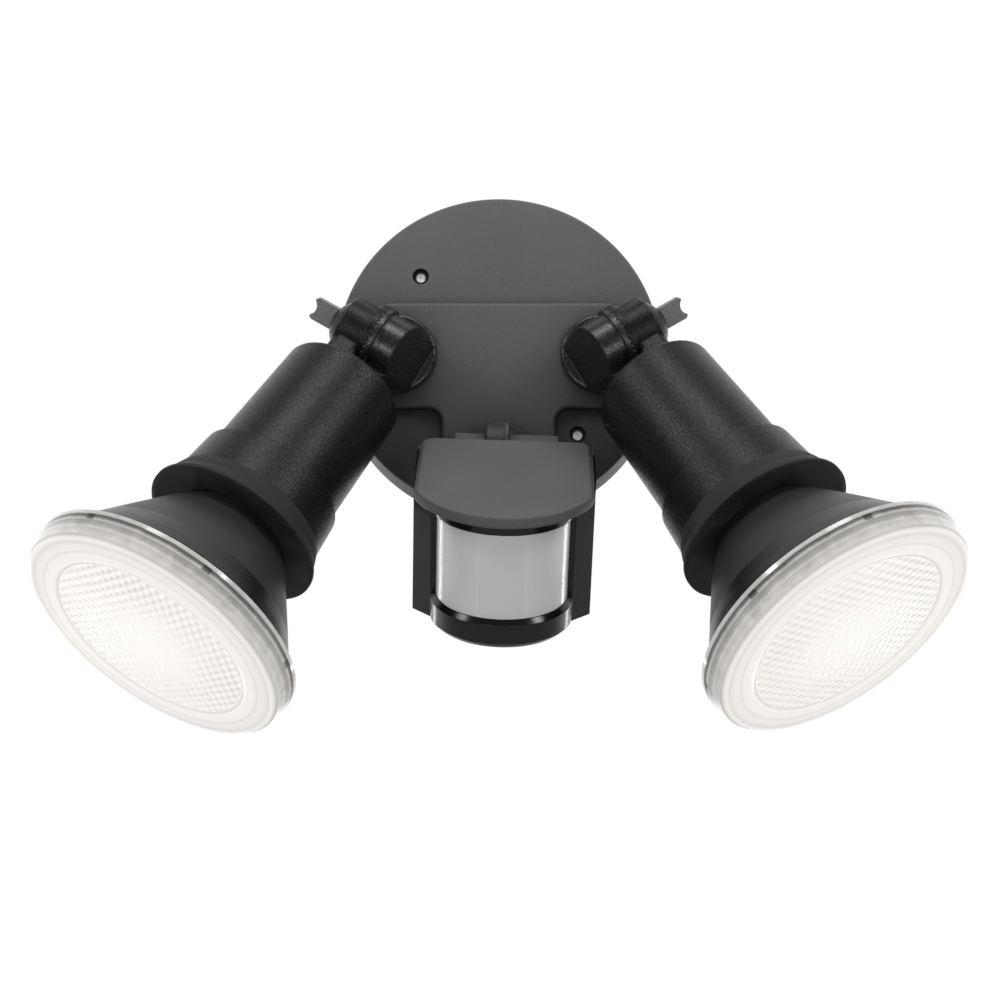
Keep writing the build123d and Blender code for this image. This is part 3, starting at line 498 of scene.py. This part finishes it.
lenslet_waves = 2 * math.pi / (lenslet_pitch * math.cos(math.radians(30)))
for side in lamp_sides:
    # Emission: painted light that keeps the lens near white where little light falls on it.
    lens = Finish(f"lamp_lens_{side}", {
        "Emission Strength": 0.72, "IOR": 1.49, "Coat Weight": 0.3, "Coat Roughness": 0.05,
    })
    start, axis, level, upward = lamp_lines(side)
    along, first, second = (measure(lens, start, line) for line in (axis, level, upward))
    radius = (first * first + second * second) ** 0.5
    domes = []
    shades = []
    # Painted shade: each lenslet lighter on one side and darker on the other, as if lit from above.
    for heading in (30, 90, 150):
        sideways, up = math.cos(math.radians(heading)), math.sin(math.radians(heading))
        phase = (first * sideways + second * up) * lenslet_waves
        domes.append((phase + math.pi / 2).wave())
        shades.append(phase.wave() * (up + 0.35 * sideways))
    lenslets = domes[0] + domes[1] + domes[2]
    shade = shades[0] + shades[1] + shades[2]
    zone = lens.ramp(radius / zone_radius, (0.965, 1.0), (0.985, 0.0))
    washed = lens.ramp(radius / zone_radius, (0.2, 0.15), (0.75, 1.0))
    washed = washed * (0.4 + lens.noise(0.035, 1.0))
    # Tones in rings from the middle out; the darker outer rings are painted, standing in for the
    # dark funnel seen through the rim.
    rings = lens.ramp(
        radius / lens_rim, (0.0, 0.98), (0.715, 0.95), (0.728, 0.66), (0.745, 0.9), (0.82, 0.88),
        (0.832, 0.76), (0.85, 0.85), (0.89, 0.83), (0.92, 0.72), (0.94, 0.87), (0.956, 0.8),
        (0.972, 0.5), (1.0, 0.42),
    )
    painted_lens_light = rings * (1.0 - zone * washed * (0.5 + shade * 0.5) * 0.2)
    streaks = lens.noise(0.006, 2.0)
    flank = (along < lens_front - flank_top) * (radius > lens_edge - flank_skin)
    step = (along - lens_back) / (lens_front - lens_back)
    # Painted light and dark bands on the side wall, standing in for the funnel seen through it and
    # its bright edges.
    stripes = lens.ramp(
        step + streaks * 0.06 - 0.03, (0.0, 0.85), (0.12, 0.78), (0.17, 0.15), (0.24, 0.25),
        (0.32, 0.85), (0.38, 0.5), (0.5, 0.6), (0.6, 0.95), (0.66, 0.8), (0.8, 0.95), (1.0, 1.0),
    )
    angle = lens.node("ShaderNodeMath", {"operation": "ARCTAN2"}, {0: second, 1: first})
    at_clip = (angle + clip_phase).zigzag(math.pi / clip_count) < 0.07
    clips = at_clip * (step < 0.34) * (step > 0.14)
    edge = stripes * (0.7 + streaks * 0.6) * (1.0 - clips * 0.6)
    face = painted_lens_light - flank * painted_lens_light + flank * edge
    warm = lens.blend(face, (0.0, 0.0, 0.0, 1.0), (1.0, 0.968, 0.935, 1.0))
    lens.feed({
        "Base Color": lens.blend(0.55 + flank * 0.2, warm, grey(0.0)),
        "Emission Color": lens.blend(flank * 0.45, warm, grey(0.0)),
        "Roughness": 0.12 + zone * 0.15 + streaks * 0.06,
        "Normal": lens.relief(zone * lenslets, 0.00012, 0.0004),
    })
    lens.give(f"lamp_lens_{side}")


# ---- Sensor swivel ----
# The sensor hangs on a small cast foot with a toothed lug, held by a zinc washer and nut
# inside the cover, and clamped by one screw through the head's two ears.

base_coat.give("sensor_swivel")
zinc.give("sensor_washer", "sensor_nut", "pivot_nut")


# ---- Sensor housing ----
# The hood and the back half are moulded with a fine spark texture; the front half is
# polished black plastic with a soft haze of handling marks.

hood_shade_reach = 0.04

hood_skin = Finish("hood_skin", {"Specular IOR Level": 0.45})
hood_grain = hood_skin.noise(0.0008, 3.0)
hood_patches = hood_skin.noise(0.03, 3.0)
# Painted shade: the hood and back half go nearly black in corners and under other pieces.
hood_unshaded = hood_skin.ramp(hood_skin.unshaded_share(hood_shade_reach), (0.4, 0.0), (1.0, 1.0))
hood_tone = hood_skin.blend(
    hood_grain * 0.5 + hood_patches * 0.3, grey(0.042, 0.02), grey(0.153, 0.04)
)
hood_skin.feed({
    "Base Color": hood_skin.blend(hood_unshaded, grey(0.01), hood_tone),
    "Roughness": 0.46 + hood_patches * 0.1 + hood_grain * 0.08,
    "Normal": hood_skin.relief(hood_grain, 0.00022, 0.0018),
})
hood_skin.give("sensor_hood", "sensor_rear_case")

polished = Finish("polished_case", {"Specular IOR Level": 0.36})
haze = polished.noise(0.02, 5.0)
fine_haze = polished.noise(0.0009, 3.0)
polished.feed({
    "Base Color": polished.blend(haze * 0.5, grey(0.004), grey(0.012)),
    "Roughness": 0.1 + haze * 0.12 + fine_haze * 0.05,
    "Normal": polished.relief(fine_haze, 0.000015, 0.0006),
})
polished.give("sensor_front_case")


# ---- Sensor window ----
# A thin milky polyethylene sheet, curved round the detector. Its back is divided into
# upright strips of small lenses, seen as faint lines.

window_axis = 0.0531
window_middle = -0.0289
head_tilt = math.radians(32)
strip_turn = math.radians(42)
row_height = window_middle + 0.007
row_half_width = 0.0004

tilt_joint = joint_named("sensor_tilt")
head_start = Vector(tilt_joint["pos_m"])
head_right = Vector(tilt_joint["axis"]).normalized()
head_forward = Vector((0, -math.cos(head_tilt), -math.sin(head_tilt)))
head_up = head_forward.cross(head_right)

milky = Finish("milky_window", {"IOR": 1.5})
across, height, ahead = (
    measure(milky, head_start, line) for line in (head_right, head_up, head_forward)
)
turn = milky.node("ShaderNodeMath", {"operation": "ARCTAN2"}, {0: across, 1: ahead - window_axis})
strips = (turn + 8 * strip_turn).zigzag(strip_turn / 2)
strip_edge = milky.ramp(strips, (0.93, 0.0), (0.97, 1.0))
row_edge = milky.ramp(abs(height - row_height) / row_half_width, (0.5, 1.0), (1.0, 0.0))
milky_cloud = milky.noise(0.03, 2.0)
milky_skin = milky.noise(0.0008, 2.0)
seams = strip_edge * 0.6 + row_edge * 0.4
plain = milky.blend(milky_cloud, (0.57, 0.575, 0.587, 1.0), (0.63, 0.636, 0.648, 1.0))
milky.feed({
    "Base Color": milky.blend(seams * 0.18, plain, (0.85, 0.855, 0.86, 1.0)),
    "Roughness": 0.16 + milky_cloud * 0.1,
    "Normal": milky.relief(milky_skin + seams, 0.00003),
})
milky.give("sensor_lens")


# ---- Sensor works and knobs ----
# A green circuit board carries a relay, the twin-element detector in a metal can and a
# light cell; three grey knobs below set time, range and dusk level.

circuit = Finish("circuit_board", {"Coat Weight": 0.3})
tracks = circuit.cells(0.0024, "DISTANCE_TO_EDGE")
copper = circuit.ramp(tracks, (0.04, 1.0), (0.07, 0.0))
circuit.feed({
    "Base Color": circuit.blend(copper, (0.012, 0.1, 0.035, 1.0), (0.05, 0.26, 0.08, 1.0)),
    "Roughness": 0.3 + circuit.noise(0.003, 2.0) * 0.15,
    "Normal": circuit.relief(copper, 0.00004),
})
circuit.give("sensor_board")

relay_case = Finish("relay_case", {})
relay_cloud = relay_case.noise(0.002, 3.0)
relay_case.feed({
    "Base Color": relay_case.blend(relay_cloud, (0.02, 0.07, 0.25, 1.0), (0.05, 0.13, 0.38, 1.0)),
    "Roughness": 0.35 + relay_cloud * 0.15,
})
relay_case.give("sensor_relay")
nickel.give("pir_detector")

knob_plastic = Finish("knob_plastic", {})
knob_cloud = knob_plastic.noise(0.0008, 3.0)
knob_plastic.feed({
    "Base Color": knob_plastic.blend(knob_cloud, grey(0.12), grey(0.22)),
    "Roughness": 0.4 + knob_cloud * 0.15,
    "Normal": knob_plastic.relief(knob_cloud, 0.00004),
})
knob_plastic.give("time_knob", "range_knob", "dusk_knob")


# ---- Floor and sky ----
# A wide pale floor well below the light, which fades to white, and a white sky. The sky lights
# the object softly from above and from behind, and in front it is nearly dark; the camera and
# clear pieces see it white.

floor_drop = 0.5
floor_reach = 2.2
floor_mesh = bmesh.new()
bmesh.ops.create_circle(floor_mesh, cap_ends=True, radius=floor_reach, segments=96)
floor_data = bpy.data.meshes.new("floor")
floor_mesh.to_mesh(floor_data)
floor_mesh.free()
floor = bpy.data.objects.new("floor", floor_data)
floor.location.z = -floor_drop
bpy.context.scene.collection.objects.link(floor)
pale = Finish("pale_floor", {"Roughness": 0.9, "Emission Strength": 1.0})
from_middle = pale.node("ShaderNodeVectorMath", {"operation": "LENGTH"}, {0: pale.place}, "Value")
far = pale.ramp(from_middle / floor_reach, (0.25, 0.0), (0.9, 1.0))
pale.feed({
    "Base Color": pale.blend(far, grey(0.5), grey(0.0)),
    "Emission Color": pale.blend(far, grey(0.0), grey(1.0)),
})
floor_data.materials.append(pale.material)

world = bpy.data.worlds.new("studio")
bpy.context.scene.world = world
world.use_nodes = True
world.node_tree.nodes.clear()
sky = NodeTree(world.node_tree, "Generated")


def towards(line):
    """How far a ray's direction points along a line, from -1 to 1."""
    lines = {0: sky.place, 1: line}
    return sky.node("ShaderNodeVectorMath", {"operation": "DOT_PRODUCT"}, lines, "Value")


def ray_is(kind):
    return sky.node("ShaderNodeLightPath", {}, {}, kind)


def larger(first, second):
    return sky.node("ShaderNodeMath", {"operation": "MAXIMUM"}, {0: first, 1: second})


behind = sky.ramp(towards((0.0, 1.0, 0.0)), (0.0, 0.0), (0.35, 1.0))
overhead = sky.ramp(towards((0.0, 0.0, 1.0)), (0.1, 0.0), (0.9, 1.0))
room = 0.04 + overhead * 0.2
studio = room + behind * (0.85 - room)
plain_ray = larger(ray_is("Is Camera Ray"), ray_is("Is Transmission Ray"))
white_share = larger(plain_ray, ray_is("Is Glossy Ray") * behind)
light = sky.node("ShaderNodeBackground", {}, {
    "Color": (1.0, 1.0, 1.0, 1.0), "Strength": studio + white_share * (1.0 - studio),
})
world_end = sky.tree.nodes.new("ShaderNodeOutputWorld")
sky.tree.links.new(light.socket, world_end.inputs["Surface"])


# ---- Studio lamps ----
# A large soft box overhead, one high up at each side, three small ones in front, and a tall
# narrow one behind each side, which draws the bright upright lines on the window and its lip.

lamps_aim = Vector((0, 0, -0.06))


def soft_box(name, place, width, height, power):
    data = bpy.data.lights.new(name, "AREA")
    data.shape = "RECTANGLE"
    data.size = width
    data.size_y = height
    data.energy = power
    lamp = bpy.data.objects.new(name, data)
    lamp.location = place
    lamp.rotation_euler = (lamps_aim - Vector(place)).to_track_quat("-Z", "Y").to_euler()
    bpy.context.scene.collection.objects.link(lamp)


def soft_pair(name, place, width, height, power):
    """A soft box on the right and its mirror image on the left."""
    across, along, up = place
    soft_box(f"left_{name}", (-across, along, up), width, height, power)
    soft_box(f"right_{name}", place, width, height, power)


soft_box("top_box", (0.0, -0.6, 0.9), 0.6, 0.35, 4.6)
soft_pair("key", (1.0, -0.75, 0.6), 0.35, 0.35, 5.5)
soft_box("front_box", (0.0, -1.4, -0.3), 0.2, 0.2, 0.8)
soft_pair("front", (0.42, -1.3, -0.25), 0.22, 0.25, 1.6)
soft_pair("strip", (0.7, 0.75, -0.15), 0.06, 0.6, 1.2)


# ---- Camera ----
# Straight in front and a little below, looking up by eleven degrees, as the photograph was
# taken.

camera_place = (0.000644, -0.826267, -0.228394)
camera_upward = 11
focal_length = 63.0
sensor_width = 36.0

camera_data = bpy.data.cameras.new("camera")
camera_data.lens = focal_length
camera_data.sensor_width = sensor_width
camera = bpy.data.objects.new("camera", camera_data)
camera.location = camera_place
camera.rotation_euler = (math.radians(90 + camera_upward), 0.0, 0.0)
bpy.context.scene.collection.objects.link(camera)
bpy.context.scene.camera = camera
bpy.context.scene.view_settings.view_transform = "Standard"
